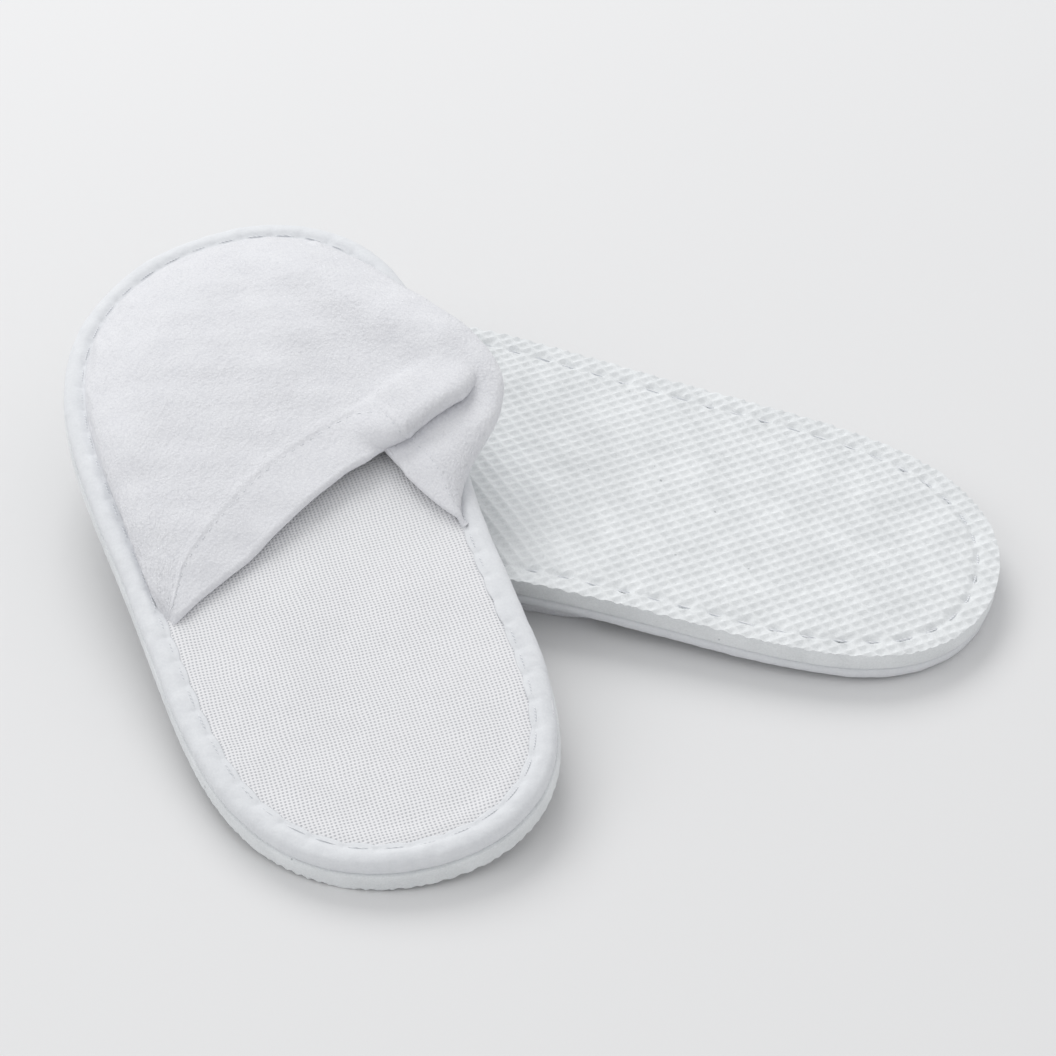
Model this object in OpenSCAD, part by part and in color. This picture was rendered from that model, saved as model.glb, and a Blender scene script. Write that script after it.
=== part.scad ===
// A pair of closed-toe spa slippers, one upright and leaning on the other, which lies sole up.
// Each slipper is drawn upright in its own frame: +Y to the toe, +Z up, the origin under the
// middle of the outsole. The slipper frames are then placed in the row frame.

/* [Footprint] */
// Length of a slipper
length = 272; // [250:1:295]
// Half the width at mid length
half_mid = 58; // [50:0.5:60]
// How much wider the toe half is than the heel half
toe_flare = 9; // [4:0.5:11]
// How far the middle of the footprint bows to the left
bow = 7.9; // [0:0.1:9]
// Squareness of the rounded ends (2 is an ellipse)
squareness = 2.1; // [2:0.05:2.6]

/* [Layers] */
// Thickness of the foam outsole
outsole_t = 6.5; // [5:0.5:8]
// Thickness of the non-woven backing under the insole
backing_t = 0.5; // [0.4:0.1:1]
// Thickness of the insole foam
foam_t = 2.4; // [2:0.1:4]
// Thickness of the towelling on the insole
terry_t = 0.8; // [0.6:0.1:1.2]
// Thickness of the edge binding tape
tape_t = 0.5; // [0.4:0.1:0.8]
// How far the binding sits back from the outsole's edge
binding_set_back = 1; // [0.5:0.1:2]
// Width of the binding seen from above
binding_w = 7.5; // [6:0.5:9]

/* [Vamp] */
// Thickness of the vamp's lining
lining_t = 0.5; // [0.4:0.1:0.8]
// Thickness of the vamp's foam
vamp_foam_t = 0.9; // [0.6:0.1:1.2]
// Thickness of the vamp's outer towelling
cover_t = 1; // [0.8:0.1:1.4]
// Height of the upright vamp's crown over the line from seam to hem
crown = 9; // [6:0.5:12]
// How far the upright vamp's loose side hangs out over the edge
side_bulge = 24; // [16:1:26]

/* [Seams] */
// Distance from one needle hole to the next
stitch_pitch = 10; // [8:0.5:12]
// Length of the thread that shows between two needle holes
stitch_l = 7; // [5:0.5:7.5]
// Width of the thread
thread_w = 0.9; // [0.6:0.1:1.2]

/* [Placement] */
// Angle by which the upturned slipper rises from heel to toe
upturned_pitch = 2.9; // [2.7:0.1:3.1]
// Direction of the upturned slipper's toe, from +Y towards -X
upturned_yaw = 55.3; // [52:0.1:58]
// Angle by which the upright slipper rises from heel to toe
upright_pitch = 9; // [9:0.1:9.8]
// Angle by which the upright slipper's right side is lifted
upright_roll = 5; // [5:0.1:6]
// Clearance under the lowest edges of both slippers
rest_gap = 0.1; // [0.05:0.05:0.2]

/* [Hidden] */

// Heights of the layers over the outsole's lower face
backing_z = outsole_t + tape_t;
foam_z = backing_z + backing_t;
terry_z = foam_z + foam_t;
insole_z = terry_z + terry_t;
binding_z = insole_z + tape_t;
vamp_t = lining_t + vamp_foam_t + cover_t;

// How the outline departs from an ellipse: fuller towards both ends, trimmed again at the toe
// and at the tips, and bowed a little more in the toe half
end_fill = 38.5;
toe_trim = 7;
tip_trim = 12;
toe_bow = 1.9;

// The needle line and the vamp's foot, measured in from the outsole's edge
needle_in = binding_set_back + binding_w - 1.5;
vamp_in = binding_set_back + binding_w + 0.2;
groove_w = thread_w + 0.6;
groove_d = 0.9;

// Directions from the middle of the slipper at which the vamp starts and ends
vamp_left = 190;
vamp_right = -7;
// The hem's inner edge from its left end to its right end: x, y and height over the insole
hem_points = [
    [-50, -31, 0.2], [-40, -17, 1.8], [-21, -4, 5.2], [-1, 7, 8],
    [17, 14, 9], [29, 12, 7.6], [35, -4, 3.2], [37, -25, 0.2]
];
vamp_steps = 28;
spoke_steps = 10;

// ---- Footprint ----

// A sine or cosine pulled out towards a square corner
function squared(v) = sign(v) * pow(abs(v), 2 / squareness);
// Half the width at t, which runs from -1 at the heel to 1 at the toe
function half_width(t) =
    half_mid + toe_flare * t + end_fill * t * t - toe_trim * pow(t, 3) - tip_trim * pow(t, 4);
// A point of the outsole's edge in direction a
function edge(a) =
    let (t = squared(sin(a)), across = squared(cos(a)) * half_width(t))
    [across - (bow + toe_bow * t) * (1 - t * t), t * length / 2];
// The same point moved in from the edge by d
function edge_in(a, d) =
    let (g = edge(a + 2) - edge(a - 2))
    edge(a) - d * [g[1], -g[0]] / norm(g);
function footprint(d) = [for (a = [0 : 5 : 355]) edge_in(a, d)];

// Running length round the line that lies d inside the edge, as pairs of length and direction
function seam_table(d, a = 0, total = 0) =
    a >= 360 ? [[total, 360]] :
    concat([[total, a]], seam_table(d, a + 2, total + norm(edge_in(a + 2, d) - edge_in(a, d))));

module slab(d, z, h) {
    translate([0, 0, z]) linear_extrude(h) polygon(footprint(d));
}

module ring(outer, inner, z, h) {
    translate([0, 0, z]) linear_extrude(h) difference() {
        polygon(footprint(outer));
        polygon(footprint(inner));
    }
}

// ---- Sole and insole ----

module outsole() {
    color("gainsboro") difference() {
        slab(0, 0, outsole_t);
        ring(needle_in - groove_w / 2, needle_in + groove_w / 2, -1, groove_d + 1);
    }
}

// The backing is pressed down inside the binding's lower flange
module insole_backing() {
    color("whitesmoke") {
        slab(binding_set_back + tape_t, backing_z, backing_t);
        slab(binding_set_back + binding_w + 0.1, outsole_t, tape_t);
    }
}

module insole_foam() {
    color("white") slab(binding_set_back + tape_t, foam_z, foam_t);
}

module insole_towelling() {
    color("whitesmoke") slab(binding_set_back + tape_t, terry_z, terry_t);
}

// A tape folded round the insole's edge: a lower flange, a side wall and an upper flange
module edge_binding() {
    color("white") difference() {
        ring(binding_set_back, binding_set_back + binding_w, outsole_t, binding_z - outsole_t);
        slab(binding_set_back + tape_t, backing_z, insole_z - backing_z);
    }
}

// ---- Threads ----

// Separate stitches along the needle line, with their lower side at z
module seam_stitches(z, h) {
    table = seam_table(needle_in);
    total = table[len(table) - 1][0];
    count = floor(total / stitch_pitch);
    for (i = [0 : count - 1]) {
        a = lookup((i + 0.5) * total / count, table);
        g = edge(a + 2) - edge(a - 2);
        p = edge_in(a, needle_in);
        translate([p[0], p[1], z + h / 2])
            rotate([0, 0, atan2(g[1], g[0])])
                cube([stitch_l, thread_w, h], center = true);
    }
}

module sole_thread() {
    thick = 0.6;
    color("lightgray") seam_stitches(groove_d - thick, thick);
}

module binding_thread() {
    thick = 0.35;
    color("white") seam_stitches(binding_z, thick);
}

// ---- Vamp ----

// A smooth curve through the hem's points; s runs from 0 at the left end to 1 at the right end
function hem(s) =
    let (
        last = len(hem_points) - 1,
        i = min(floor(s * last), last - 1),
        f = s * last - i,
        p0 = hem_points[max(i - 1, 0)],
        p1 = hem_points[i],
        p2 = hem_points[i + 1],
        p3 = hem_points[min(i + 2, last)]
    )
    0.5 * (2 * p1 + (p2 - p0) * f + (2 * p0 - 5 * p1 + 4 * p2 - p3) * f * f
           + (3 * p1 - p0 - 3 * p2 + p3) * f * f * f);

function foot_of_vamp(s) =
    let (p = edge_in(vamp_left + (vamp_right - vamp_left) * s, vamp_in))
    [p[0], p[1], insole_z];

// 1 at the middle of the loose right side, and 0 away from it
function right_side(s) = s < 0.59 ? 0 : pow(max(0, cos((s - 0.84) * 360)), 2);

// The vamp's inner face: s runs along the seam, r along a spoke from the seam (0) to the hem (1)
function vamp_inner(s, r, bulge) =
    let (
        foot = foot_of_vamp(s),
        top = hem(s) + [0, 0, insole_z],
        span = norm(top - foot),
        arch = sin(180 * pow(r, 0.75)),
        loose = bulge * right_side(s),
        out = loose * arch * arch,
        lift = (crown * min(1, span / 90) + 0.3 * loose) * arch
    )
    foot + (top - foot) * r + [out, -0.25 * out, lift];

// The direction square to the inner face, turned upright at the seam, where the layers lie flat
function vamp_normal(s, r, bulge) =
    let (
        ds = vamp_inner(min(s + 0.01, 1), r, bulge) - vamp_inner(max(s - 0.01, 0), r, bulge),
        dr = vamp_inner(s, min(r + 0.02, 1), bulge) - vamp_inner(s, max(r - 0.02, 0), bulge),
        n = cross(dr, ds),
        square = n / norm(n),
        share = min(1, r / 0.2),
        mixed = square * share + [0, 0, 1 - share]
    )
    mixed / norm(mixed);

// The surface that the upturned slipper lies on, in the slipper's own frame
function floor_over(y) = (upturned_z + y * sin(upturned_pitch)) / cos(upturned_pitch);

// A point of the face at depth d over the inner face; pressed is true for the upturned slipper
function vamp_face(s, r, d, pressed) =
    let (
        bulge = pressed ? 0 : side_bulge,
        p = vamp_inner(s, r, bulge) + d * vamp_normal(s, r, bulge)
    )
    pressed ? [p[0], p[1], min(p[2] + 6 * sin(90 * r), floor_over(p[1]) - vamp_t + d)] : p;

// One layer of the vamp, between two depths
module vamp_layer(near, far, pressed) {
    cols = vamp_steps + 1;
    rows = spoke_steps + 1;
    size = cols * rows;
    // the outer skin is side 0 and the inner skin side 1, which turns every face outwards
    points = [for (d = [far, near], i = [0 : vamp_steps], j = [0 : spoke_steps])
              vamp_face(i / vamp_steps, j / spoke_steps, d, pressed)];
    function at(i, j, side) = side * size + i * rows + j;
    // the skins' faces run from the hem down to the seam
    skins = [for (j = [spoke_steps - 1 : -1 : 0], i = [0 : vamp_steps - 1]) each [
        [at(i, j, 0), at(i + 1, j, 0), at(i + 1, j + 1, 0)],
        [at(i, j, 0), at(i + 1, j + 1, 0), at(i, j + 1, 0)],
        [at(i, j, 1), at(i + 1, j + 1, 1), at(i + 1, j, 1)],
        [at(i, j, 1), at(i, j + 1, 1), at(i + 1, j + 1, 1)]
    ]];
    seam_and_hem = [for (i = [0 : vamp_steps - 1]) each [
        [at(i, 0, 0), at(i, 0, 1), at(i + 1, 0, 1)],
        [at(i, 0, 0), at(i + 1, 0, 1), at(i + 1, 0, 0)],
        [at(i, spoke_steps, 0), at(i + 1, spoke_steps, 1), at(i, spoke_steps, 1)],
        [at(i, spoke_steps, 0), at(i + 1, spoke_steps, 0), at(i + 1, spoke_steps, 1)]
    ]];
    ends = [for (j = [0 : spoke_steps - 1]) each [
        [at(0, j, 0), at(0, j + 1, 1), at(0, j, 1)],
        [at(0, j, 0), at(0, j + 1, 0), at(0, j + 1, 1)],
        [at(vamp_steps, j, 0), at(vamp_steps, j, 1), at(vamp_steps, j + 1, 1)],
        [at(vamp_steps, j, 0), at(vamp_steps, j + 1, 1), at(vamp_steps, j + 1, 0)]
    ]];
    polyhedron(points, concat(skins, seam_and_hem, ends));
}

module vamp_lining(pressed) {
    color("whitesmoke") vamp_layer(0, lining_t, pressed);
}

module vamp_foam(pressed) {
    color("white") vamp_layer(lining_t, lining_t + vamp_foam_t, pressed);
}

module vamp_cover(pressed) {
    color("ghostwhite") vamp_layer(lining_t + vamp_foam_t, vamp_t, pressed);
}

// Stitches that hold the turned-in hem, a little way back from the vamp's free edge
module hem_thread(pressed) {
    count = 20;
    hem_r = 0.88;
    // the pressed vamp shows its stitches on the inner face, the other on the outer face
    depth = pressed ? 0 : vamp_t;
    proud = pressed ? -0.4 : 0.4;
    color("white") for (i = [1 : count - 1]) {
        s = 0.06 + 0.88 * i / count;
        a = vamp_face(s - 0.012, hem_r, depth, pressed);
        b = vamp_face(s + 0.012, hem_r, depth, pressed);
        run = b - a;
        translate((a + b) / 2 + [0, 0, proud])
            rotate([0, -asin(run[2] / norm(run)), atan2(run[1], run[0])])
                cube([0.7 * norm(run), 0.5, 0.4], center = true);
    }
}

// ---- Placement ----

// The upturned slipper lies on its vamp and on the back of its heel
module place_upturned() {
    translate([upturned_x, upturned_y, upturned_z])
        rotate([upturned_pitch, 0, upturned_yaw])
            rotate([0, 180, 0]) children();
}

// The upright slipper stands on its heel and leans on the upturned outsole
module place_upright() {
    translate([upright_x, upright_y, upright_z])
        rotate([upright_pitch, 0, 0])
            rotate([0, -upright_roll, 0]) children();
}

// Where the middle of each outsole's outer face goes
upright_x = -70.8;
upright_y = 0.5;
upturned_x = 18.5;
upturned_y = 5.2;
upturned_z = (binding_z + rest_gap) * cos(upturned_pitch) + length / 2 * sin(upturned_pitch);
// How high a point of the upright outsole's lower face lies over the middle of that face
function upright_rise(p) =
    p[1] * sin(upright_pitch) + p[0] * sin(upright_roll) * cos(upright_pitch);
upright_z = rest_gap - min([for (p = footprint(0)) upright_rise(p)]);

place_upturned() outsole();  // upturned_outsole
place_upturned() insole_backing();  // upturned_insole_backing
place_upturned() insole_foam();  // upturned_insole_foam
place_upturned() insole_towelling();  // upturned_insole_towelling
place_upturned() edge_binding();  // upturned_edge_binding
place_upturned() sole_thread();  // upturned_sole_thread
place_upturned() binding_thread();  // upturned_binding_thread
place_upturned() vamp_cover(true);  // upturned_vamp_cover
place_upturned() vamp_foam(true);  // upturned_vamp_foam
place_upturned() vamp_lining(true);  // upturned_vamp_lining
place_upturned() hem_thread(true);  // upturned_hem_thread
place_upright() outsole();  // upright_outsole
place_upright() insole_backing();  // upright_insole_backing
place_upright() insole_foam();  // upright_insole_foam
place_upright() insole_towelling();  // upright_insole_towelling
place_upright() edge_binding();  // upright_edge_binding
place_upright() sole_thread();  // upright_sole_thread
place_upright() binding_thread();  // upright_binding_thread
place_upright() vamp_cover(false);  // upright_vamp_cover
place_upright() vamp_foam(false);  // upright_vamp_foam
place_upright() vamp_lining(false);  // upright_vamp_lining
place_upright() hem_thread(false);  // upright_hem_thread
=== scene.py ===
"""Looks of a pair of closed-toe spa slippers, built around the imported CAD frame.

Each slipper is drawn upright in its own frame, in millimetres: +Y to the toe, +Z up, the origin
under the middle of the outsole. Its meshes are then placed as the CAD places them, in metres.
"""

import math

import bmesh
import bpy
import numpy as np
from mathutils import Matrix, Vector, kdtree


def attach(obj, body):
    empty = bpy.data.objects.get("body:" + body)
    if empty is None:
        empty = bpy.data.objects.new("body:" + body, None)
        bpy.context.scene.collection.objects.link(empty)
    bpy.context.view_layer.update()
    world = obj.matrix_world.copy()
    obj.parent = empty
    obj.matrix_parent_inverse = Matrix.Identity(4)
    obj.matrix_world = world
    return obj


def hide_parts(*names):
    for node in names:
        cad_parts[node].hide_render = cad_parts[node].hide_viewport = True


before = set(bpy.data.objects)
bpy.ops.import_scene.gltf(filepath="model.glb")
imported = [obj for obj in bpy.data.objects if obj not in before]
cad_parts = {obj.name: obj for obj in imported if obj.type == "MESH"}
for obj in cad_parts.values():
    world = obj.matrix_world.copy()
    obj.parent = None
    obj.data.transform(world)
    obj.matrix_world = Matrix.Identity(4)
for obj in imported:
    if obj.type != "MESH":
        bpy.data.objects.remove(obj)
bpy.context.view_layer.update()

MM = 0.001

# ---- The slipper's shape, as in the CAD (millimetres and degrees) ----

LENGTH = 272.0
HALF_MID, TOE_FLARE, END_FILL, TOE_TRIM, TIP_TRIM = 58.0, 9.0, 38.5, 7.0, 12.0
BOW, TOE_BOW, SQUARENESS = 7.9, 1.9, 2.1
OUTSOLE_T = 6.5
TERRY_Z, INSOLE_Z, BINDING_Z = 9.9, 10.7, 11.2
LINING_T, PAD_T, COVER_T = 0.5, 0.9, 1.0
VAMP_T = LINING_T + PAD_T + COVER_T
NEEDLE_IN, VAMP_IN = 7.0, 8.0
VAMP_LEFT, VAMP_RIGHT = 190.0, -7.0
CROWN, SIDE_BULGE = 9.0, 24.0
STITCH_PITCH = 10.0
# the hem as it hangs: share of the way along the seam, x, y and height over the insole;
# the sharp corner is where the fold starts
HEM_LINE = np.array([
    [0.00, -55.0, -27.0, 0.3], [0.14, -44.0, -19.8, 1.0], [0.28, -27.0, -10.8, 2.2],
    [0.42, -8.0, 1.4, 3.4], [0.56, 12.0, 12.2, 4.6], [0.67, 26.0, 16.0, 5.6],
    [0.73, 28.7, 9.0, 4.6], [0.86, 35.2, -4.4, 2.8], [1.00, 42.0, -18.0, 0.6],
])
# the loose side hangs out most at this share of the way along the seam, and fades over these
# shares towards the toe and towards the seam's end
SIDE_MID, SIDE_TO_TOE, SIDE_TO_END = 0.85, 0.21, 0.13
REST_GAP = 0.1
SKIN_GAP, INNER_GAP = 0.03, 0.3   # a soft part's two faces over the floor where it is pressed flat
UPTURNED_PITCH, UPTURNED_YAW, UPTURNED_AT = 2.9, 55.3, (18.5, 5.2)
UPRIGHT_PITCH, UPRIGHT_ROLL, UPRIGHT_AT = 9.0, 5.0, (-70.8, 0.5)


def squared(v):
    return np.sign(v) * np.abs(v) ** (2 / SQUARENESS)


def half_width(t):
    return HALF_MID + TOE_FLARE * t + END_FILL * t * t - TOE_TRIM * t ** 3 - TIP_TRIM * t ** 4


def edge(a):
    """Points of the outsole's edge in directions a."""
    a = np.radians(a)
    t = squared(np.sin(a))
    across = squared(np.cos(a)) * half_width(t)
    return np.stack([across - (BOW + TOE_BOW * t) * (1 - t * t), t * LENGTH / 2], -1)


def edge_in(a, d):
    """The same points moved in from the edge by d."""
    g = edge(a + 2) - edge(a - 2)
    return edge(a) - np.asarray(d)[..., None] * np.stack([g[..., 1], -g[..., 0]], -1) \
        / np.linalg.norm(g, axis=-1, keepdims=True)


def line_in(d, count):
    """A closed line of count points that lies d inside the edge."""
    a = np.arange(count) * 360.0 / count
    return edge_in(a, np.full(count, float(d)))


def around(d, count):
    """Directions of count points evenly spaced on the line that lies d inside the edge, the
    line's length, and how far along it each point is."""
    a = np.arange(0, 360.01, 0.25)
    p = edge_in(a, np.full(a.shape, float(d)))
    run = np.r_[0, np.cumsum(np.linalg.norm(np.diff(p, axis=0), axis=1))]
    at = np.arange(count) / count * run[-1]
    return np.interp(at, run, a), run[-1], at


def hem(s):
    """Points of the hem: straight runs between the points of HEM_LINE, rounded off."""
    fine = np.linspace(-0.06, 1.06, 1121)
    knots = HEM_LINE[:, 0]
    weights = np.exp(-np.linspace(-2.5, 2.5, 41) ** 2)
    weights /= weights.sum()
    rounded = []
    for k in (1, 2, 3):
        straight = np.interp(fine, knots, HEM_LINE[:, k])
        ahead = (fine - 1) * (HEM_LINE[-1, k] - HEM_LINE[-2, k]) / (knots[-1] - knots[-2])
        behind = fine * (HEM_LINE[1, k] - HEM_LINE[0, k]) / (knots[1] - knots[0])
        straight = straight + np.where(fine > 1, ahead, 0) + np.where(fine < 0, behind, 0)
        rounded.append(np.convolve(np.pad(straight, 20, "edge"), weights, "valid"))
    return np.stack([np.interp(s, fine, line) for line in rounded], -1)


def vamp_inner(s, r, bulge):
    """The vamp's inner face: s runs along the seam, r from the seam (0) to the hem (1)."""
    foot = edge_in(VAMP_LEFT + (VAMP_RIGHT - VAMP_LEFT) * s, np.full(s.shape, VAMP_IN))
    foot = np.concatenate([foot, np.full(s.shape + (1,), INSOLE_Z)], -1)
    top = hem(s) + np.array([0, 0, INSOLE_Z])
    span = np.linalg.norm(top - foot, axis=-1)
    arch = np.sin(np.pi * r ** 0.75)
    off = (s - SIDE_MID) / np.where(s < SIDE_MID, SIDE_TO_TOE, SIDE_TO_END)
    side = np.cos(np.pi / 2 * np.clip(off, -1, 1)) ** 2
    out = bulge * side * arch ** 2
    lift = (CROWN * np.minimum(1, span / 90) + 0.3 * bulge * side) * arch
    return foot + (top - foot) * r[..., None] + np.stack([out, -0.25 * out, lift], -1)


def turn(axis, degrees):
    return Matrix.Rotation(math.radians(degrees), 4, axis)


def placements():
    """The matrix that places each slipper frame in the row frame, in metres."""
    pitch = math.radians(UPTURNED_PITCH)
    up_z = (BINDING_Z + REST_GAP) * math.cos(pitch) + LENGTH / 2 * math.sin(pitch)
    upturned = Matrix.Translation(Vector((*UPTURNED_AT, up_z)) * MM) @ turn("Z", UPTURNED_YAW) \
        @ turn("X", UPTURNED_PITCH) @ turn("Y", 180)
    pitch, roll = math.radians(UPRIGHT_PITCH), math.radians(UPRIGHT_ROLL)
    p = line_in(0, 72)
    rise = p[:, 1] * math.sin(pitch) + p[:, 0] * math.sin(roll) * math.cos(pitch)
    upright = Matrix.Translation(Vector((*UPRIGHT_AT, REST_GAP - rise.min())) * MM) \
        @ turn("X", UPRIGHT_PITCH) @ turn("Y", -UPRIGHT_ROLL)
    return {"upturned": upturned, "upright": upright}, up_z


PLACE, UPTURNED_Z = placements()


def floor_over(y):
    """Height of the surface that the upturned slipper lies on, in the slipper's own frame."""
    pitch = math.radians(UPTURNED_PITCH)
    return (UPTURNED_Z + y * math.sin(pitch)) / math.cos(pitch)


def on_floor(p, gap):
    """Points of the upturned slipper's soft parts, pressed flat where they would sink in."""
    p[..., 2] = np.minimum(p[..., 2], floor_over(p[..., 1]) - gap)
    return p


# ---- Small tools ----

def smooth(x, lo, hi):
    t = np.clip((x - lo) / (hi - lo), 0, 1)
    return t * t * (3 - 2 * t)


def waves(x, y, wavelength, seed, count=7):
    """Gentle unevenness between about -1 and 1: sine waves in fixed random directions."""
    rng = np.random.RandomState(seed)
    total = np.zeros(np.broadcast(x, y).shape)
    for _ in range(count):
        ang, phase = rng.uniform(0, 2 * np.pi, 2)
        k = 2 * np.pi / (wavelength * rng.uniform(0.7, 1.6))
        total = total + np.sin(k * (x * np.cos(ang) + y * np.sin(ang)) + phase)
    return total / count ** 0.5 / 1.3


def distance_to(x, y, line):
    """Distance from points in plan to the nearest point of a finely divided line, and its index."""
    tree = kdtree.KDTree(len(line))
    for k, (u, v) in enumerate(line):
        tree.insert((u, v, 0), k)
    tree.balance()
    found = [tree.find((u, v, 0)) for u, v in zip(x.ravel(), y.ravel())]
    distance = np.array([d for _, _, d in found]).reshape(x.shape)
    return distance, np.array([k for _, k, _ in found]).reshape(x.shape)


def unit(v):
    return v / np.linalg.norm(v, axis=-1, keepdims=True)


def stage_object(name, data):
    """An object of the scene at the top level, such as a light."""
    obj = bpy.data.objects.new(name, data)
    bpy.context.scene.collection.objects.link(obj)
    return obj


def new_mesh(name, points, faces, slipper, band=None):
    """A mesh object from points in millimetres in the slipper's frame, placed in the row frame."""
    mesh = bpy.data.meshes.new(name)
    mesh.from_pydata((np.asarray(points) * MM).tolist(), [], [list(f) for f in faces])
    mesh.transform(PLACE[slipper])
    mesh.validate()
    bm = bmesh.new()
    bm.from_mesh(mesh)
    bmesh.ops.recalc_face_normals(bm, faces=bm.faces)
    bm.to_mesh(mesh)
    bm.free()
    if band is not None:
        marks = mesh.attributes.new("band", "FLOAT", "POINT")
        marks.data.foreach_set("value", band.astype(np.float32))
    shade(mesh)
    return stage_object(name, mesh)


def shade(mesh, sharp=None):
    """Smooth shading, with edges sharper than this angle left sharp."""
    mesh.polygons.foreach_set("use_smooth", [True] * len(mesh.polygons))
    if sharp is not None:
        mesh.set_sharp_from_angle(angle=math.radians(sharp))
    mesh.update()


def grid_faces(rows, cols, start=0, wrap=False):
    """Quads of a rows x cols grid of points; with wrap the rows close into a ring."""
    i, j = np.meshgrid(np.arange(rows if wrap else rows - 1), np.arange(cols - 1), indexing="ij")
    k = (i + 1) % rows
    quads = np.stack([i * cols + j, k * cols + j, k * cols + j + 1, i * cols + j + 1], -1)
    return (quads.reshape(-1, 4) + start).tolist()


def shell_faces(rows, cols):
    """Faces of a closed shell between two grids stored one after the other."""
    size = rows * cols
    faces = grid_faces(rows, cols) + [f[::-1] for f in grid_faces(rows, cols, size)]
    border = [(i, 0) for i in range(rows)] + [(rows - 1, j) for j in range(1, cols)] \
        + [(i, cols - 1) for i in range(rows - 2, -1, -1)] + [(0, j) for j in range(cols - 2, 0, -1)]
    ids = [i * cols + j for i, j in border]
    for a, b in zip(ids, ids[1:] + ids[:1]):
        faces.append([a, b, b + size, a + size])
    return faces


def dress(obj, slipper, node, material):
    """Everything that a finished piece says about itself."""
    obj.data.materials.clear()
    obj.data.materials.append(material)
    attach(obj, slipper + "_slipper")
    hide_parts(slipper + "_" + node)
    return obj


# ---- Materials ----

class Nodes:
    """A short way to write a material's nodes."""

    def __init__(self, name, color, roughness, **sockets):
        self.material = bpy.data.materials.new(name)
        self.material.use_nodes = True
        self.tree = self.material.node_tree
        self.shader = self.tree.nodes["Principled BSDF"]
        self.shader.inputs["Base Color"].default_value = (*color, 1)
        self.shader.inputs["Roughness"].default_value = roughness
        for key, value in sockets.items():
            self.shader.inputs[key.replace("_", " ")].default_value = value
        self.place = self.tree.nodes.new("ShaderNodeTexCoord").outputs["Object"]

    def add(self, kind, out=0, settings=None, **inputs):
        node = self.tree.nodes.new("ShaderNode" + kind)
        for key, value in (settings or {}).items():
            setattr(node, key, value)
        for key, value in inputs.items():
            socket = node.inputs[int(key[1:])] if key[0] == "i" and key[1:].isdigit() \
                else node.inputs[key.replace("_", " ")]
            if isinstance(value, bpy.types.NodeSocket):
                self.tree.links.new(value, socket)
            else:
                socket.default_value = value
        return node.outputs[out]

    def noise(self, scale, detail=2.0, roughness=0.5, vector=None):
        return self.add("TexNoise", 0, Vector=vector or self.place, Scale=scale, Detail=detail,
                        Roughness=roughness)

    def cells(self, scale, randomness=1.0, feature="F1", out=0, vector=None):
        return self.add("TexVoronoi", out, {"feature": feature}, Vector=vector or self.place,
                        Scale=scale, Randomness=randomness)

    def math(self, operation, a, b=0.0):
        return self.add("Math", 0, {"operation": operation}, i0=a, i1=b)

    def span(self, value, lo, hi, to_lo=0.0, to_hi=1.0):
        return self.add("MapRange", 0, i0=value, i1=lo, i2=hi, i3=to_lo, i4=to_hi)

    def tint(self, factor, dark, light):
        """The colour goes from dark to light with the factor."""
        mix = self.add("Mix", 2, {"data_type": "RGBA"}, i0=factor, i6=(*dark, 1), i7=(*light, 1))
        self.tree.links.new(mix, self.shader.inputs["Base Color"])

    def bump(self, height, distance, strength=1.0):
        """Adds a bump on top of those added before; distance in metres."""
        node = self.tree.nodes.new("ShaderNodeBump")
        for key, value in (("Height", height), ("Distance", distance), ("Strength", strength)):
            if isinstance(value, bpy.types.NodeSocket):
                self.tree.links.new(value, node.inputs[key])
            else:
                node.inputs[key].default_value = value
        old = self.shader.inputs["Normal"].links
        if old:
            self.tree.links.new(old[0].from_socket, node.inputs["Normal"])
        self.tree.links.new(node.outputs["Normal"], self.shader.inputs["Normal"])

    def roughen(self, factor, lo, hi):
        self.tree.links.new(self.span(factor, 0, 1, lo, hi), self.shader.inputs["Roughness"])


def terry_pile():
    """Short looped pile: tufts of a little under a millimetre, fluffier away from the hem."""
    m = Nodes("terry_pile", (0.88, 0.885, 0.92), 0.95, Sheen_Weight=0.35, Sheen_Roughness=0.45,
              Specular_IOR_Level=0.12)
    tufts = m.cells(1150.0)
    fluff = m.noise(2400.0, 3.0, 0.65)
    patches = m.noise(120.0, 3.0, 0.6)
    pile = m.math("ADD", m.math("MULTIPLY", tufts, -0.8), fluff)
    tone = m.math("ADD", m.math("MULTIPLY", pile, 0.55), m.math("MULTIPLY", patches, 0.5))
    m.tint(m.span(tone, -0.05, 0.55), (0.745, 0.75, 0.785), (0.855, 0.86, 0.885))
    band = m.add("Attribute", 2, {"attribute_name": "band"})
    m.bump(patches, 0.0003, 0.35)
    m.bump(pile, 0.00042, m.span(band, 0, 1, 0.55, 0.45))
    m.roughen(fluff, 0.86, 1.0)
    return m.material


LOOP_PITCH_X, LOOP_PITCH_Y = 0.00120, 0.00108   # rows of loops on the insole, in metres


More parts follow.
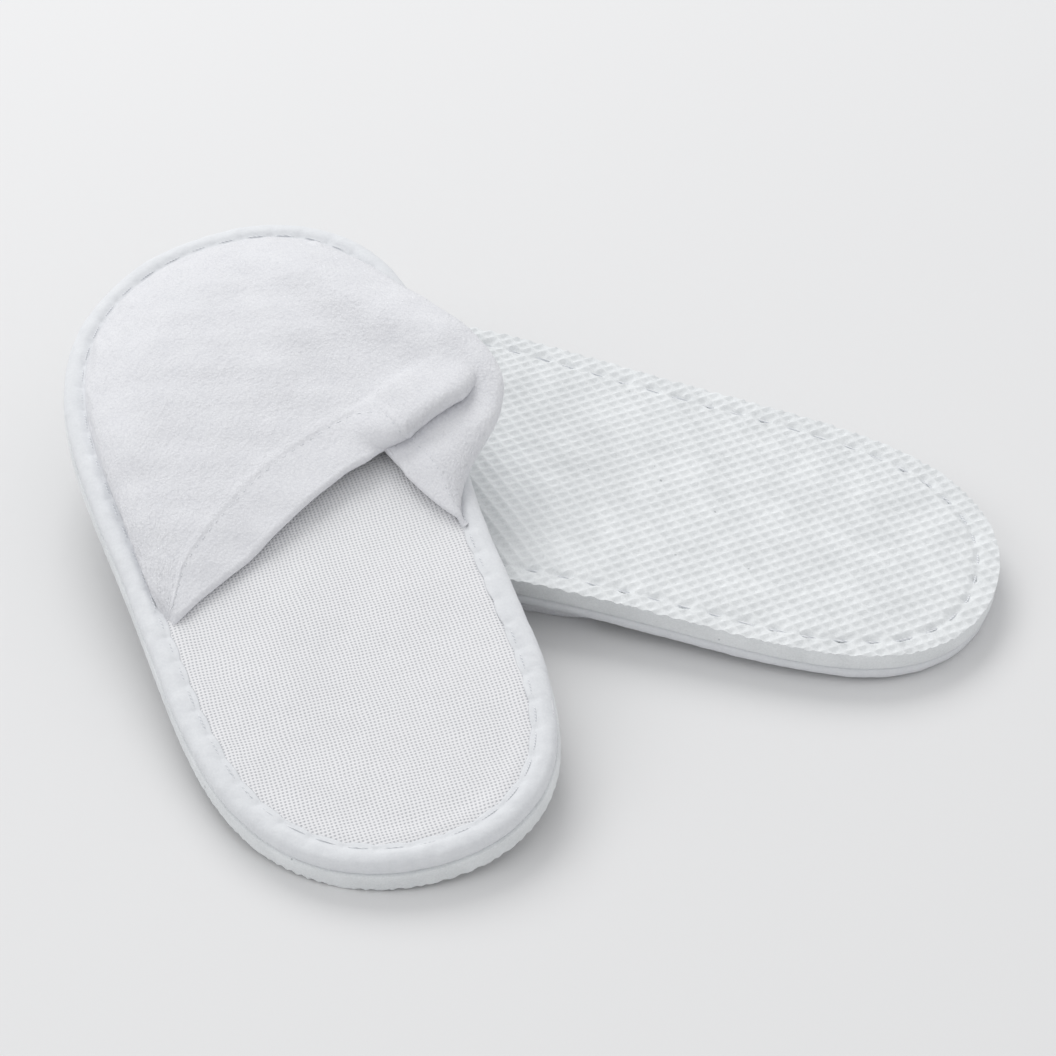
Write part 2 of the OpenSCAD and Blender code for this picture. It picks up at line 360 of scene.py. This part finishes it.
def terry_weave():
    """Flat towelling of the insole: slightly wavy rows of tiny loops, with painted shade in the gaps
    between them.
    """
    m = Nodes("terry_weave", (0.82, 0.825, 0.84), 0.92, Sheen_Weight=0.2, Sheen_Roughness=0.5,
              Specular_IOR_Level=0.15)
    m.place = m.add("Attribute", 1, {"attribute_name": "place"})
    drift = m.noise(55.0, 2.0)
    shift = m.add("VectorMath", 0, {"operation": "SCALE"}, i0=drift, Scale=0.0022)
    place = m.add("VectorMath", 0, {"operation": "ADD"}, i0=m.place, i1=shift)
    split = m.tree.nodes.new("ShaderNodeSeparateXYZ")
    m.tree.links.new(place, split.inputs[0])
    rows, picks = [
        m.math("SINE", m.math("MULTIPLY", split.outputs[axis], 2 * math.pi / pitch))
        for axis, pitch in ((0, LOOP_PITCH_X), (1, LOOP_PITCH_Y))]
    gaps = m.math("MULTIPLY", m.span(rows, 1, -1), m.span(picks, 1, -1))
    loops = m.math("SUBTRACT", 1.0, gaps)
    fluff = m.noise(2100.0, 3.0, 0.7)
    height = m.math("ADD", loops, m.math("MULTIPLY", fluff, 0.5))
    patches = m.noise(38.0, 2.0)
    # the colour follows the loops' height: painted shade, darkest in the gaps between loops, plus a
    # faint random tone in patches
    tone = m.math("ADD", m.span(height, 0.35, 1.05), m.span(patches, 0.3, 0.7, -0.06, 0.06))
    m.tint(tone, (0.56, 0.57, 0.60), (0.89, 0.89, 0.905))
    m.bump(height, 0.0004, 0.6)
    m.roughen(fluff, 0.84, 1.0)
    return m.material


def sole_foam():
    """Closed-cell foam: matt, a little blue, finely pitted, with a rare dark speck."""
    m = Nodes("sole_foam", (0.71, 0.745, 0.765), 0.62, Specular_IOR_Level=0.35)
    grain = m.noise(1500.0, 4.0, 0.6)
    blotch = m.noise(90.0, 2.0)
    specks = m.cells(95.0)
    clean = m.span(specks, 0.028, 0.05)
    tone = m.math("MULTIPLY", clean, m.span(m.math("ADD", grain, blotch), 0.6, 1.35, 0.55, 1.0))
    m.tint(tone, (0.52, 0.54, 0.55), (0.885, 0.905, 0.915))
    m.bump(grain, 0.00022, 0.7)
    m.roughen(grain, 0.52, 0.78)
    return m.material


def tape_cloth():
    """Smooth non-woven tape: long soft fibres and a faint sheen."""
    m = Nodes("tape_cloth", (0.84, 0.855, 0.87), 0.6, Sheen_Weight=0.12, Sheen_Roughness=0.4,
              Specular_IOR_Level=0.3)
    fibres = m.noise(1300.0, 4.0, 0.7)
    creases = m.noise(230.0, 2.0, 0.55)
    tone = m.math("ADD", m.math("MULTIPLY", fibres, 0.6), m.math("MULTIPLY", creases, 0.4))
    m.tint(m.span(tone, 0.3, 0.7), (0.72, 0.735, 0.76), (0.815, 0.83, 0.85))
    m.bump(creases, 0.0007, 0.45)
    m.bump(fibres, 0.00014, 0.6)
    m.roughen(fibres, 0.5, 0.72)
    return m.material


def nonwoven(name, color, cell):
    """Thin bonded sheet with a pressed dot pattern."""
    m = Nodes(name, color, 0.75, Specular_IOR_Level=0.25)
    dots = m.cells(cell, 0.15)
    fibres = m.noise(1600.0, 3.0, 0.7)
    tone = m.math("ADD", m.span(dots, 0.1, 0.5), m.math("MULTIPLY", fibres, 0.3))
    m.tint(m.span(tone, 0.1, 1.2), tuple(c * 0.86 for c in color), color)
    m.bump(m.math("ADD", dots, fibres), 0.0002, 0.7)
    return m.material


def pad_foam():
    """Open-cell foam sheet."""
    m = Nodes("pad_foam", (0.86, 0.86, 0.85), 0.9, Specular_IOR_Level=0.15)
    pores = m.cells(1600.0)
    m.tint(m.span(pores, 0.0, 0.6), (0.62, 0.62, 0.61), (0.88, 0.88, 0.87))
    m.bump(pores, 0.0003, 0.8)
    return m.material


def sewing_thread():
    """Twisted white thread."""
    m = Nodes("sewing_thread", (0.78, 0.79, 0.81), 0.55, Specular_IOR_Level=0.35)
    twist = m.add("TexWave", 1, {"bands_direction": "DIAGONAL"}, Vector=m.place, Scale=420.0,
                  Distortion=1.2, Detail=1.0)
    m.tint(twist, (0.62, 0.64, 0.67), (0.85, 0.86, 0.88))
    m.bump(twist, 0.0001, 0.6)
    return m.material


TERRY_PILE, TERRY_WEAVE = terry_pile(), terry_weave()
SOLE_FOAM, TAPE_CLOTH = sole_foam(), tape_cloth()
LINING_CLOTH = nonwoven("lining_cloth", (0.84, 0.845, 0.855), 700.0)
BACKING_CLOTH = nonwoven("backing_cloth", (0.80, 0.80, 0.80), 450.0)
PAD_FOAM, SEWING_THREAD = pad_foam(), sewing_thread()


# ---- Outsole ----

TREAD_U, TREAD_V, TREAD_TURN = 4.19, 3.45, 45.0
RIDGE, DIMPLE = 0.055, 0.95   # half a ridge's width as a share of the pitch; depth of a dimple
SEAM_REACH, SEAM_PULL = 5.0, 1.25   # how far from the needle line the tread sinks, and how fast
BLOCK_X, BLOCK_Y = 84.0, 141.0      # half the size of the tread block, a little over the sole's
SHARP = 38                          # degrees


def sole_sink(x, y):
    """How far the seam pulls the tread in: a shallow groove with a long pit at every stitch."""
    a, total, run = around(NEEDLE_IN, 2600)
    distance, nearest = distance_to(x, y, edge_in(a, np.full(a.shape, NEEDLE_IN)))
    count = math.floor(total / STITCH_PITCH)
    phase = (run[nearest] * count / total) % 1
    pit = np.maximum(0, np.cos((phase - 0.5) * np.pi * 1.25))
    sink = (0.25 + 0.75 * pit) * np.exp(-(distance / SEAM_PULL) ** 2)
    return np.where(distance > SEAM_REACH, 0, sink)


def tread_block(slipper):
    """The moulded diamond tread as one closed block, over the footprint's box."""
    steps = np.array([-0.5 + RIDGE, -0.24, 0.0, 0.24, 0.5 - RIDGE])
    reach = int(160 / TREAD_V)
    u = (np.arange(-reach, reach + 1)[:, None] + steps[None]).ravel()
    gu, gv = np.meshgrid(u, u, indexing="ij")
    c, s = math.cos(math.radians(TREAD_TURN)), math.sin(math.radians(TREAD_TURN))
    x = gu * TREAD_U * c - gv * TREAD_V * s
    y = gu * TREAD_U * s + gv * TREAD_V * c
    inside = (np.abs(x) < BLOCK_X) & (np.abs(y) < BLOCK_Y)
    from_ridge = [1 - np.abs(((g + 0.5) % 1) - 0.5) / (0.5 - RIDGE) for g in (gu, gv)]
    pit = np.clip(np.minimum(*from_ridge), 0, 1)
    z = DIMPLE * (1 - (1 - pit) ** 1.3)
    z += 0.12 * (waves(x, y, 26, 5) + 1)
    sink = np.zeros(x.shape)
    sink[inside] = sole_sink(x[inside], y[inside])
    z = z * (1 - 0.55 * sink) + 1.5 * sink
    top = np.stack([x, y, z], -1).reshape(-1, 3)
    bottom = np.stack([x, y, np.full(x.shape, OUTSOLE_T)], -1).reshape(-1, 3)
    n = len(u)
    keep = inside[:-1, :-1] & inside[1:, :-1] & inside[1:, 1:] & inside[:-1, 1:]
    faces = np.array(grid_faces(n, n)).reshape(n - 1, n - 1, 4)[keep].tolist()
    edges = {pair: None for f in faces for pair in zip(f, f[1:] + f[:1])}
    below = n * n
    walls = [[q, p, p + below, q + below] for p, q in edges if (q, p) not in edges]
    faces = faces + [[v + below for v in f[::-1]] for f in faces] + walls
    used, index = np.unique(np.array(faces), return_inverse=True)
    points = np.concatenate([top, bottom])[used]
    return new_mesh(slipper + "_sole", points, index.reshape(-1, 4).tolist(), slipper)


def outsole(slipper):
    """The tread block cut to the footprint, so that the rim is scalloped by the dimples."""
    block = tread_block(slipper)
    a, _, _ = around(0, 560)
    # height, and distance in from the edge: the wall's slightly hollow section
    rings = [(-1, 0.0), (1.0, 0.0), (3.4, 0.22), (5.6, 0.12), (6.2, 0.3), (OUTSOLE_T - 0.02, 0.75)]
    wall = np.stack([np.c_[edge_in(a, np.full(a.shape, d)), np.full(len(a), float(z))]
                     for z, d in rings], 1)
    rows, cols = wall.shape[:2]
    wall_faces = grid_faces(rows, cols, wrap=True)
    wall_faces.append([i * cols for i in range(rows)])
    wall_faces.append([i * cols + cols - 1 for i in range(rows - 1, -1, -1)])
    cutter = new_mesh(slipper + "_cutter", wall.reshape(-1, 3), wall_faces, slipper)
    cut = block.modifiers.new("cut", "BOOLEAN")
    cut.operation, cut.object, cut.solver = "INTERSECT", cutter, "MANIFOLD"
    bpy.context.view_layer.update()
    graph = bpy.context.evaluated_depsgraph_get()
    done = bpy.data.meshes.new_from_object(block.evaluated_get(graph))
    block.modifiers.clear()
    block.data = done
    bpy.data.objects.remove(cutter)
    shade(block.data, SHARP)
    return dress(block, slipper, "outsole", SOLE_FOAM)


# ---- Insole and binding ----

INSOLE_IN = 1.5
HUMP_IN, HUMP_WIDTH, HUMP = 9.5, 3.0, 0.40   # the soft swell just inside the binding


def insole(slipper):
    """The towelling slab: a soft, slightly uneven top between the bindings."""
    rows, cols = 300, 130
    a = np.linspace(-89.6, 89.6, rows)
    left = edge_in(180 - a, np.full(rows, INSOLE_IN))[:, None]
    right = edge_in(a, np.full(rows, INSOLE_IN))[:, None]
    share = (0.5 - 0.5 * np.cos(np.linspace(0, np.pi, cols)))[None, :, None]
    flat = left + (right - left) * share
    x, y = flat[..., 0], flat[..., 1]
    to_rim, _ = distance_to(x, y, line_in(INSOLE_IN, 720))
    top = INSOLE_Z - 0.05 + 0.16 * waves(x, y, 34, 11) + 0.07 * waves(x, y, 9, 12)
    top += HUMP * np.exp(-((to_rim - HUMP_IN) / HUMP_WIDTH) ** 2)
    # under the binding it is pressed flat
    top = top + (INSOLE_Z - 0.15 - top) * (1 - smooth(to_rim, 5.5, 8.0))
    low = np.full(x.shape, TERRY_Z + 0.02)
    points = np.concatenate([np.stack([x, y, z], -1).reshape(-1, 3) for z in (top, low)])
    obj = new_mesh(slipper + "_insole_terry", points, shell_faces(rows, cols), slipper)
    # the weave runs along the slipper, so it needs the place in the slipper's own frame
    place = obj.data.attributes.new("place", "FLOAT_VECTOR", "POINT")
    place.data.foreach_set("vector", (points * MM).astype(np.float32).ravel())
    return dress(obj, slipper, "insole_towelling", TERRY_WEAVE)


# the lap on the upright slipper's right side, where the tape's end lies over its start
LAP_INNER_Y, LAP_OUTER_Y, LAP_STEP = -61.0, -80.0, 0.34
TAPE_T = 0.42
# the tape's outer side, from the lower flange's end round to the upper flange's end: distance in
# from the outsole's edge, and height
TAPE_SECTION = np.array([
    [8.3, 6.62], [6.6, 6.6], [4.6, 6.58], [2.8, 6.58], [1.7, 6.68], [1.02, 7.1], [0.72, 7.8],
    [0.66, 8.7], [0.78, 9.6], [1.15, 10.45], [1.8, 11.1], [2.7, 11.5], [3.7, 11.68],
    [4.7, 11.7], [5.7, 11.6], [6.5, 11.42], [7.1, 11.25], [7.7, 11.2], [8.25, 11.12],
    [8.62, 10.95],
])
TAPE_MIDDLE = np.array([4.5, 9.0])   # a point inside the rolled section


def binding(slipper):
    """The tape folded round the insole's edge: a rounded roll, pulled in at every stitch."""
    a, total, run = around(NEEDLE_IN, 900)
    count = math.floor(total / STITCH_PITCH)
    phase = (run * count / total) % 1
    between = np.sin(np.pi * phase)[:, None]         # 0 at a needle hole, 1 between two
    tangent = unit(np.gradient(TAPE_SECTION, axis=0))
    inward = np.stack([-tangent[:, 1], tangent[:, 0]], -1)
    inward *= np.sign(((TAPE_MIDDLE - TAPE_SECTION) * inward).sum(1, keepdims=True))

    def swept(profile, outer):
        d = np.tile(profile[:, 0], (len(a), 1))
        z = np.tile(profile[:, 1], (len(a), 1))
        upper = smooth(z, 10.2, 11.0)
        near = np.exp(-((d - NEEDLE_IN) / 1.15) ** 2) * upper
        flange = smooth(d, 6.0, 8.4) * upper
        d = d + flange * (0.75 * between ** 0.8 - 0.35)
        z = z - near * (0.42 * (1 - between) ** 3 + 0.08)
        z = z + 0.22 * between * np.exp(-((d - 5.2) / 1.3) ** 2) * upper
        side = np.exp(-((d - 1.2) / 1.6) ** 2)
        wob = waves(run[:, None] + 0 * d, d * 3, 22, 21 if slipper == "upright" else 22)
        ripple = waves(run[:, None] + 0 * d, d * 2, 6.5, 23)
        d = d - outer * side * (0.16 * wob + 0.10 * ripple)
        z = z + outer * upper * (0.10 * wob + 0.05 * ripple)
        p = edge_in(a[:, None] + 0 * d, d)
        if slipper == "upright":
            bound = LAP_INNER_Y + (LAP_OUTER_Y - LAP_INNER_Y) * smooth(-d, -8.4, -1.0)
            lapped = smooth(p[..., 1], bound - 0.45, bound + 0.45) * (p[..., 0] > 0) \
                * (1 - smooth(p[..., 1], -45.0, -20.0))
            z = z + LAP_STEP * lapped * upper
            d = d - 0.3 * lapped * side
            p = edge_in(a[:, None] + 0 * d, d)
        p = np.concatenate([p, z[..., None]], -1)
        if slipper == "upturned":
            p = on_floor(p, SKIN_GAP if outer else SKIN_GAP + INNER_GAP)
        return p

    skin, under = swept(TAPE_SECTION, 1), swept(TAPE_SECTION + TAPE_T * inward, 0)
    loop = np.concatenate([skin, under[:, ::-1]], 1)
    rows, cols = loop.shape[:2]
    # the section is closed too: its last column of points is its first one
    faces = [[(v // (cols + 1)) * cols + (v % (cols + 1)) % cols for v in f]
             for f in grid_faces(rows, cols + 1, wrap=True)]
    obj = new_mesh(slipper + "_binding", loop.reshape(-1, 3), faces, slipper)
    return dress(obj, slipper, "edge_binding", TAPE_CLOTH)


# ---- Vamp ----

# the fold in the loose right side, in plan, and how the cloth moves across it
FOLD_START, FOLD_END, FOLD_WIDTH = np.array([25.0, 18.5]), np.array([60.0, 27.5]), 13.0
FOLD_SLIDE, FOLD_CREST, FOLD_TUCK = 9.0, 3.6, 3.4
# the low ridge that runs from the toe to the fold
RIDGE_LINE = np.array([[11.0, 118.0], [34.0, 72.0], [53.0, 47.0]])
RIDGE_WIDTH, RIDGE_LIFT = 9.0, 3.0
HEM_BAND = 11.5   # depth of the turned-in hem


def to_line(x, y, line):
    """Distance to a polyline."""
    best = np.full(x.shape, 1e9)
    for p, q in zip(line[:-1], line[1:]):
        d = q - p
        t = np.clip(((x - p[0]) * d[0] + (y - p[1]) * d[1]) / (d @ d), 0, 1)
        best = np.minimum(best, np.hypot(x - p[0] - t * d[0], y - p[1] - t * d[1]))
    return best


def fold(p, r):
    """The soft Z fold on the loose right side: the front part rolls over the flap behind it."""
    along = unit(FOLD_END - FOLD_START)
    across = np.array([along[1], -along[0]])
    q = p[..., :2] - FOLD_START
    run, off = q @ along, q @ across
    # it opens at the hem and dies away at the vamp's side
    amount = smooth(run, -8, 8) * (1 - 0.8 * smooth(run, 27, 38)) * smooth(r, 0.30, 0.55)
    u = np.clip(off / FOLD_WIDTH, -1, 1)
    window = 1 - smooth(np.abs(u), 0.8, 1.0)
    slide = -FOLD_SLIDE * np.sin(np.pi * u) * window * amount
    crest = np.exp(-((off + 7.0) / 6.0) ** 2)
    tuck = np.exp(-((off - 6.5) / 6.5) ** 2)
    lift = amount * (FOLD_CREST * crest - FOLD_TUCK * tuck)
    p = p.copy()
    p[..., :2] += slide[..., None] * across
    p[..., 2] += lift
    return p


def vamp_base(slipper, s, r):
    """The vamp's inner face as it really lies, the direction square to it, and the one towards
    the hem."""
    pressed = slipper == "upturned"
    p = vamp_inner(s, r, 0 if pressed else SIDE_BULGE)
    if not pressed:
        crest = np.exp(-(to_line(p[..., 0], p[..., 1], RIDGE_LINE) / RIDGE_WIDTH) ** 2)
        p[..., 2] += RIDGE_LIFT * crest * smooth(r, 0.08, 0.3)
        p = fold(p, r)
    x, y = p[..., 0], p[..., 1]
    uneven = 0.7 * waves(x, y, 48, 31) + 0.3 * waves(x, y, 17, 32)
    p[..., 2] += smooth(r, 0.02, 0.25) * uneven
    pucker = (1 - smooth(r, 0.03, 0.13)) * smooth(r, 0.0, 0.03)
    p[..., 2] += pucker * (0.7 * np.sin(s * 92) + 0.5 * waves(s * 300, r * 20, 7, 33))
    # both ends of the hem are caught under the binding
    p[..., 2] -= 1.3 * (1 - smooth(np.minimum(s, 1 - s), 0.0, 0.04))
    down = np.gradient(p, axis=1)
    square = unit(np.cross(down, np.gradient(p, axis=0)))
    # near the seam the layers lie on the insole, so there they are stacked straight up
    share = np.minimum(1, r / 0.2)[..., None]
    return p, unit(square * share + np.array([0, 0, 1.0]) * (1 - share)), unit(down)


def vamp(slipper):
    """The closed toe: lining, foam and towelling, which turns round the hem. Returns the three
    pieces, and what the hem's stitches follow: the grid's s, and its points at a depth."""
    pressed = slipper == "upturned"
    columns, rows = (190, 90) if pressed else (380, 190)
    t = np.linspace(0, 1, columns)
    if not pressed:
        # more columns where the fold is
        t = np.interp(t, [0, 0.45, 0.85, 1], [0, 0.60, 0.93, 1])
    s, r = np.meshgrid(t, np.linspace(0, 1, rows), indexing="ij")
    base, normal, down = vamp_base(slipper, s, r)
    # the layers are pressed thin at the seam and at the hem's ends
    taper = 0.25 + 0.75 * smooth(r, 0.0, 0.10)
    taper = taper * (0.2 + 0.8 * smooth(np.minimum(s, 1 - s), 0, 0.045))

    def level(depth):
        """The layer at this depth over the inner face; on the floor it is pressed flat."""
        p = base + normal * (depth * taper)[..., None]
        if pressed:
            lifted = p[..., 2] + 6 * np.sin(np.pi / 2 * r)
            p[..., 2] = np.minimum(lifted, floor_over(p[..., 1]) - VAMP_T - 0.1 + depth * taper)
        return p

    full = np.ones(s.shape)
    reach = np.cumsum(np.r_[0, np.linalg.norm(np.diff(base, axis=1), axis=-1).mean(0)])
    to_hem = reach[-1] - reach
    band = 1 - smooth(to_hem, HEM_BAND, HEM_BAND + 2)[None, :] * full
    rng = np.random.RandomState(41)
    fuzz = rng.normal(0, 1, s.shape)
    fuzz = (fuzz + np.roll(fuzz, 1, 0) * 0.6 + np.roll(fuzz, 1, 1) * 0.6) * 0.045
    fuzz *= (1 - 0.35 * band) * smooth(r, 0.0, 0.04)
    step = 0.35 * smooth(to_hem, 11.8, 12.8) * (1 - smooth(to_hem, 12.8, 16.0))
    outer = level(full * VAMP_T + fuzz + 0.12 * band + step[None, :])
    inner = level(full * (VAMP_T - COVER_T + 0.03))

    # the towelling turns round the hem and ends on the inner side
    edge_mid, edge_n, edge_t = level(full * VAMP_T / 2)[:, -1], normal[:, -1], down[:, -1]
    half = VAMP_T / 2
    wrap_out, wrap_in = [], []
    for angle in (25, 50, 75, 100, 125, 150, 180):
        c, k = math.cos(math.radians(angle)), math.sin(math.radians(angle))
        wrap_out.append(edge_mid + edge_n * half * c + edge_t * half * 1.15 * k)
        wrap_in.append(edge_mid + edge_n * (half - 0.6) * c + edge_t * (half - 0.6) * k)
    back = rows - 1 - int(rows * 0.10)
    for j in np.linspace(rows - 2, back, 4).astype(int):
        wrap_out.append(level(full * -0.55)[:, j])
        wrap_in.append(level(full * -0.05)[:, j])
    outer = np.concatenate([outer, np.stack(wrap_out, 1)], 1)
    inner = np.concatenate([inner, np.stack(wrap_in, 1)], 1)
    if pressed:
        outer, inner = on_floor(outer, SKIN_GAP), on_floor(inner, INNER_GAP)
    band = np.concatenate([band, np.ones((columns, len(wrap_out)))], 1)

    def shell(name, upper, lower, node, material, marks=None):
        points = np.concatenate([upper.reshape(-1, 3), lower.reshape(-1, 3)])
        marks = None if marks is None else np.r_[marks.ravel(), marks.ravel()]
        obj = new_mesh(slipper + name, points, shell_faces(*upper.shape[:2]), slipper, marks)
        return dress(obj, slipper, node, material)

    def hidden(depth):
        """A coarser layer that ends just short of the hem."""
        return level(full * depth)[::2, :rows - 3][:, ::2]

    cover = shell("_vamp_terry", outer, inner, "vamp_cover", TERRY_PILE, band)
    pad = shell("_vamp_pad", hidden(VAMP_T - COVER_T), hidden(LINING_T + 0.03), "vamp_foam",
                PAD_FOAM)
    lining = shell("_vamp_lining_cloth", hidden(LINING_T), hidden(0.0), "vamp_lining",
                   LINING_CLOTH)
    return cover, pad, lining, s, level


# ---- Stitches ----

def tube(points, radius, sides=6):
    """A tapered tube through points; returns its points and faces."""
    tangent = unit(np.gradient(points, axis=0))
    side = unit(np.cross(tangent, np.array([0.0, 0.0, 1.0])))
    lift = np.cross(side, tangent)
    size = radius * np.sqrt(np.clip(1 - np.linspace(-1, 1, len(points)) ** 6, 0.12, 1))
    ang = np.arange(sides) * 2 * np.pi / sides
    ring = points[:, None] + size[:, None, None] * (
        np.cos(ang)[None, :, None] * side[:, None] + np.sin(ang)[None, :, None] * lift[:, None])
    n = len(points)
    faces = [[i * sides + j, i * sides + (j + 1) % sides, (i + 1) * sides + (j + 1) % sides,
              (i + 1) * sides + j] for i in range(n - 1) for j in range(sides)]
    faces += [list(range(sides))[::-1], [(n - 1) * sides + j for j in range(sides)]]
    return ring.reshape(-1, 3), faces


def thread(name, slipper, lines, radius, node):
    """All the stitches of one seam as one piece."""
    points, faces, start = [], [], 0
    for line in lines:
        p, f = tube(line, radius)
        points.append(p)
        faces += [[v + start for v in face] for face in f]
        start += len(p)
    obj = new_mesh(slipper + name, np.concatenate(points), faces, slipper)
    dress(obj, slipper, node, SEWING_THREAD)


def seam_lines(z_mid, dip, seed):
    """One short curve per stitch along the needle line; its ends dip by dip."""
    a, total, run = around(NEEDLE_IN, 1440)
    count = math.floor(total / STITCH_PITCH)
    rng = np.random.RandomState(seed)
    lines = []
    for i in range(count):
        t = np.linspace(-0.42, 0.42, 9)
        where = (i + 0.5 + t) * total / count
        ang = np.interp(where, np.r_[run, total], np.r_[a, 360])
        p = edge_in(ang, NEEDLE_IN + 0.12 * rng.normal() + 0 * ang)
        lines.append(np.c_[p, z_mid + dip * (np.abs(t) / 0.42) ** 3])
    return lines


HEM_STITCH, HEM_STITCH_PITCH, HEM_ROW = 2.6, 3.6, 12.3   # length, pitch, distance from the hem


def hem_lines(pressed, s, level):
    """One short curve per stitch of the turned-in hem."""
    side = -1 if pressed else 1   # the face of the vamp that they show on
    grid = level(np.full(s.shape, -0.55 if pressed else VAMP_T + 0.1))
    reach = np.linalg.norm(np.diff(grid, axis=1), axis=-1).mean(0)
    row = grid[:, s.shape[1] - 1 - int(np.searchsorted(np.cumsum(reach[::-1]), HEM_ROW))]
    run = np.r_[0, np.cumsum(np.linalg.norm(np.diff(row, axis=0), axis=1))]
    lines, at = [], 6.0
    while at < run[-1] - 8:
        w = np.linspace(at, at + HEM_STITCH, 5)
        p = np.stack([np.interp(w, run, row[:, k]) for k in range(3)], -1)
        p[:, 2] -= side * 0.25 * np.linspace(-1, 1, 5) ** 2
        lines.append(p)
        at += HEM_STITCH_PITCH
    return lines


def stitches(slipper, s, level):
    thread("_sole_stitches", slipper, seam_lines(1.35, 0.9, 51), 0.36, "sole_thread")
    thread("_binding_stitches", slipper, seam_lines(11.28, -0.75, 52), 0.24, "binding_thread")
    thread("_hem_stitches", slipper, hem_lines(slipper == "upturned", s, level), 0.18,
           "hem_thread")


# ---- Building both slippers ----

for slipper in ("upturned", "upright"):
    outsole(slipper)
    terry = insole(slipper)
    tape = binding(slipper)
    cover, pad, lining, s, level = vamp(slipper)
    stitches(slipper, s, level)
    for part, material in (("insole_backing", BACKING_CLOTH), ("insole_foam", PAD_FOAM)):
        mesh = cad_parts[slipper + "_" + part].data
        mesh.materials.clear()
        mesh.materials.append(material)


# ---- Floor, light and camera ----

def floor():
    """A plain pale card under the slippers."""
    size, count = 3.0, 24
    g = np.linspace(-size, size, count)
    x, y = np.meshgrid(g, g, indexing="ij")
    mesh = bpy.data.meshes.new("floor")
    points = np.stack([x, y, 0 * x], -1).reshape(-1, 3)
    mesh.from_pydata(points.tolist(), [], grid_faces(count, count))
    m = Nodes("floor_card", (0.80, 0.80, 0.80), 0.9, Specular_IOR_Level=0.1)
    m.tint(m.noise(1.1, 1.0), (0.79, 0.79, 0.795), (0.81, 0.81, 0.81))
    mesh.materials.append(m.material)
    stage_object("floor", mesh)


def area_light(name, place, size, power):
    """A round soft light that shines at the slippers."""
    light = bpy.data.lights.new(name, "AREA")
    light.shape, light.size, light.energy = "DISK", size, power
    obj = stage_object(name, light)
    obj.location = place
    obj.rotation_euler = (-Vector(place)).to_track_quat("-Z", "Y").to_euler()


def camera():
    """The photograph's view, fitted to the slippers' outlines."""
    target = Vector((0.0008, 0.0122, 0.0))
    rise, swing, distance = 0.70, -0.3039, 1.0229   # radians and metres
    offset = Vector((math.cos(rise) * math.sin(swing), -math.cos(rise) * math.cos(swing),
                     math.sin(rise))) * distance
    data = bpy.data.cameras.new("camera")
    data.sensor_width, data.lens = 36.0, 105.69
    obj = stage_object("camera", data)
    obj.location = target + offset
    obj.rotation_euler = (-offset).to_track_quat("-Z", "Y").to_euler()
    bpy.context.scene.camera = obj


floor()
camera()
area_light("back_panel", (-0.1, 1.7, 1.7), 1.6, 24)
area_light("side_panel", (-1.5, 0.2, 1.3), 1.2, 4)
world = bpy.data.worlds.new("studio")
world.use_nodes = True
world.node_tree.nodes["Background"].inputs["Color"].default_value = (0.985, 0.99, 1.0, 1)
world.node_tree.nodes["Background"].inputs["Strength"].default_value = 0.68
bpy.context.scene.world = world
bpy.context.scene.view_settings.view_transform = "Standard"
